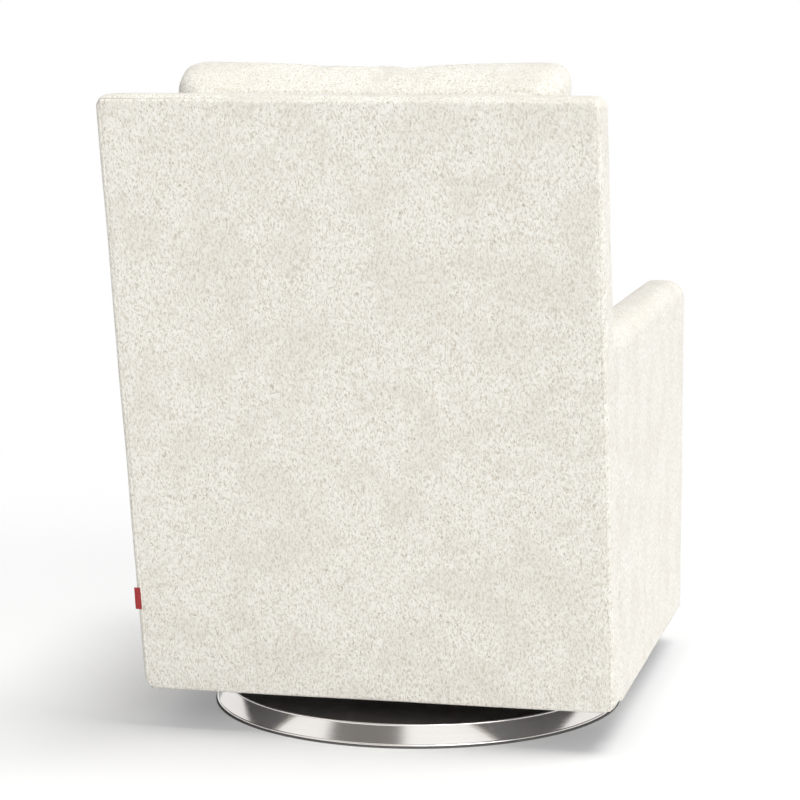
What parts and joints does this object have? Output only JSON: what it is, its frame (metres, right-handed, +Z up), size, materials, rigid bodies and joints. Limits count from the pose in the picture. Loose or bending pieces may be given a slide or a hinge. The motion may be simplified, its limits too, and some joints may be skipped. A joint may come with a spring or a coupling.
{
  "type": "swivel rocker",
  "caption": "Upholstered swivel rocker armchair with slab arms, raked flat back, loose seat and back cushions, and a round brushed steel foot.",
  "frame": {"origin": "on the floor, on the swivel axis at the centre of the round foot", "axes": "+Z up, the sitter faces -Y, +X is the sitter's left"},
  "size_m": [0.7465, 0.9582, 1.0355],
  "materials": {
    "boucle": "matte",
    "cushion_boucle": "matte",
    "deck_cloth": "matte",
    "tag_ribbon": "matte",
    "black_cambric": "matte",
    "elastic_webbing": "matte",
    "plywood": "matte",
    "hardwood": "matte",
    "brushed_stainless": "satin",
    "black_steel": "satin",
    "zinc_steel": "satin",
    "bearing_steel": "polished",
    "spring_steel": "satin",
    "nylon": "matte",
    "foot_rubber": "matte"
  },
  "bodies": {
    "base": {"base_foot_pad": "foot_rubber", "base_ring": "brushed_stainless", "base_cross_arms": "black_steel", "base_pan": "black_steel", "base_bolts": "zinc_steel", "bearing_lower_plate": "zinc_steel", "swivel_pin": "zinc_steel"},
    "ball_cage": {"bearing_balls": "bearing_steel", "bearing_cage": "nylon"},
    "turntable": {"bearing_upper_plate": "zinc_steel", "cradle_rivets": "zinc_steel", "rocker_cradle": "black_steel", "rock_stops": "foot_rubber", "spring_cups_lower": "black_steel", "pivot_pins": "zinc_steel", "rock_spring_front_left": "spring_steel", "rock_spring_front_right": "spring_steel", "rock_spring_rear_left": "spring_steel", "rock_spring_rear_right": "spring_steel"},
    "chair": {"arm_cover_left": "boucle", "arm_cover_right": "boucle", "arm_front_board_left": "plywood", "arm_front_board_right": "plywood", "arm_top_rail_left": "plywood", "arm_top_rail_right": "plywood", "back_border": "boucle", "back_bottom_rail": "plywood", "back_cushion": "cushion_boucle", "back_middle_rail": "plywood", "back_post_left": "plywood", "back_post_right": "plywood", "back_seat_rail": "plywood", "back_top_rail": "plywood", "back_webbing": "elastic_webbing", "corner_blocks": "plywood", "dust_cover": "black_cambric", "front_border": "boucle", "front_bottom_rail": "plywood", "front_seat_rail": "plywood", "head_bolts": "zinc_steel", "inside_back": "boucle", "mechanism_rail_front": "hardwood", "mechanism_rail_rear": "hardwood", "outside_back": "boucle", "pivot_bushings": "nylon", "rocker_head": "black_steel", "seat_cushion": "cushion_boucle", "seat_deck": "deck_cloth", "seat_side_rail_left": "plywood", "seat_side_rail_right": "plywood", "seat_springs": "spring_steel", "side_bottom_rail_left": "plywood", "side_bottom_rail_right": "plywood", "side_tag": "tag_ribbon", "spring_clips": "zinc_steel", "spring_cups_upper": "black_steel"}
  },
  "joints": [
    {"name": "swivel", "type": "hinge", "parent": "base", "child": "turntable", "pos_m": [0, 0, 0.0391], "axis": [0, 0, 1], "continuous": true},
    {"name": "cage_turn", "type": "hinge", "parent": "base", "child": "ball_cage", "pos_m": [0, 0, 0.0333], "axis": [0, 0, 1], "continuous": true},
    {"name": "rock", "type": "hinge", "parent": "turntable", "child": "chair", "pos_m": [0, 0.01, 0.12], "axis": [1, 0, 0], "range_deg": [-5.5, 5], "stiffness_Nm_per_rad": 900, "springref_deg": 1.4, "deforming": ["rock_spring_front_left", "rock_spring_front_right", "rock_spring_rear_left", "rock_spring_rear_right"]}
  ],
  "couplings": [
    {"joint": "cage_turn", "follows": "swivel", "ratio": 0.5}
  ]
}
